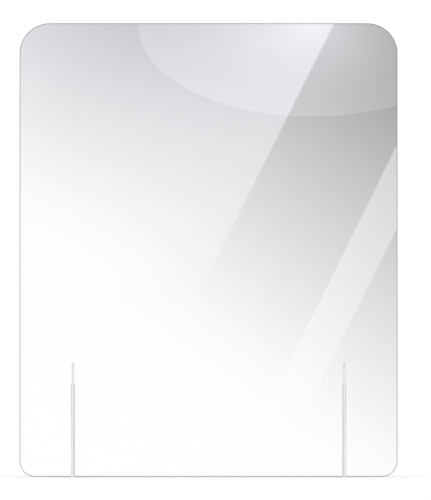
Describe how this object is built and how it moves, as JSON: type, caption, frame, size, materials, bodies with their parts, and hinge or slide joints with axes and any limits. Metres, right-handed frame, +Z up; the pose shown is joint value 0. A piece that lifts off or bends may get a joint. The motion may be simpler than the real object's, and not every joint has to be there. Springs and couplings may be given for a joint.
{
  "type": "sneeze guard",
  "caption": "Free-standing clear acrylic sneeze guard: a tall rounded screen that slots down over low clear feet to stand on a counter.",
  "frame": {"origin": "on the counter, under the middle of the guard", "axes": "+Z up, +X along the screen's width to the right as the customer sees it, +Y away from the customer"},
  "size_m": [0.5, 0.22, 0.6],
  "materials": {
    "clear_acrylic": "polished"
  },
  "bodies": {
    "left_foot": {"left_foot": "clear_acrylic"},
    "screen": {"screen": "clear_acrylic"},
    "right_foot": {"right_foot": "clear_acrylic"}
  },
  "joints": [
    {"name": "screen_lift", "type": "slide", "parent": "left_foot", "child": "screen", "axis": [0, 0, 1], "range_m": [0, 0.16]},
    {"name": "right_foot_slide", "type": "slide", "parent": "screen", "child": "right_foot", "axis": [0, 0, -1], "range_m": [0, 0.16]}
  ],
  "couplings": [
    {"joint": "right_foot_slide", "follows": "screen_lift", "ratio": 1}
  ]
}
